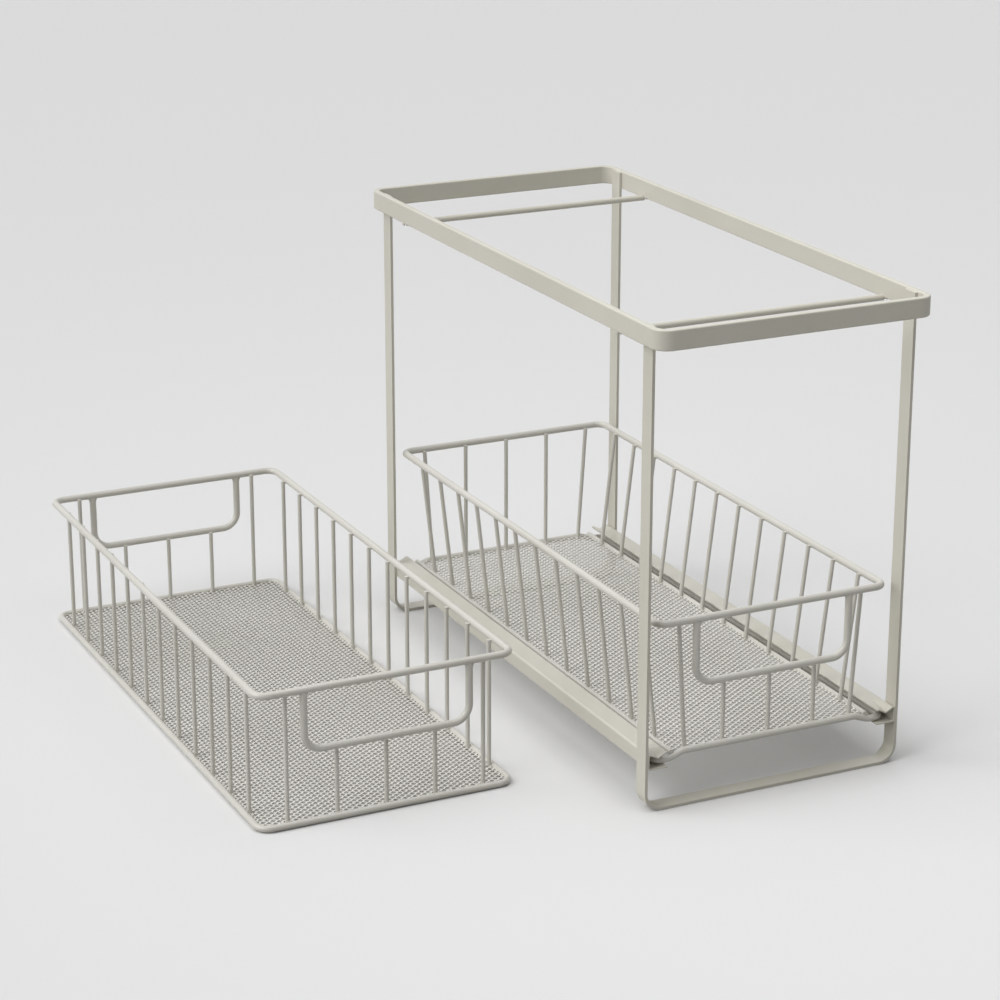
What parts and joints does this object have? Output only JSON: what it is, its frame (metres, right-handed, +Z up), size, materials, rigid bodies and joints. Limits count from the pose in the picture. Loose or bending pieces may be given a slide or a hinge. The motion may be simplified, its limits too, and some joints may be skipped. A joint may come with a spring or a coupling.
{
  "type": "under sink organizer",
  "caption": "Open steel frame with a wire basket that slides out on rails, and a lift-off wire basket shown standing beside it.",
  "frame": {"origin": "on the floor, under the middle of the frame's footprint", "axes": "+Z up, -Y towards the front where the lower basket slides out, +X to the right seen from the front"},
  "size_m": [0.4365, 0.526, 0.3285],
  "materials": {
    "frame_coat": "satin powder coat, warm light grey",
    "wire_coat": "satin powder coat, warm light grey",
    "mesh_coat": "satin powder coat, warm light grey"
  },
  "bodies": {
    "frame": {"top_ring": "frame_coat", "front_leg_frame": "frame_coat", "rear_leg_frame": "frame_coat", "front_support_rod": "frame_coat", "rear_support_rod": "frame_coat", "left_rail": "frame_coat", "right_rail": "frame_coat"},
    "lower_basket": {"lower_rim_wire": "wire_coat", "lower_runner_wire": "wire_coat", "lower_floor_side_wires": "wire_coat", "lower_mesh_floor": "mesh_coat", "lower_handle": "wire_coat", "lower_left_wires": "wire_coat", "lower_right_wires": "wire_coat", "lower_front_wires": "wire_coat", "lower_handle_wires": "wire_coat", "lower_rear_wires": "wire_coat"},
    "upper_basket": {"upper_rim_wire": "wire_coat", "upper_base_wire": "wire_coat", "upper_mesh_floor": "mesh_coat", "upper_front_handle": "wire_coat", "upper_rear_handle": "wire_coat", "upper_left_wires": "wire_coat", "upper_right_wires": "wire_coat", "upper_front_wires": "wire_coat", "upper_rear_wires": "wire_coat", "upper_front_handle_wires": "wire_coat", "upper_rear_handle_wires": "wire_coat"}
  },
  "joints": [
    {"name": "lower_basket_slide", "type": "slide", "parent": "frame", "child": "lower_basket", "axis": [0, -1, 0], "range_m": [0, 0.28]},
    {"name": "upper_basket_lift", "type": "slide", "parent": "frame", "child": "upper_basket", "axis": [0, 0, 1], "range_m": [0, 0.35]}
  ]
}
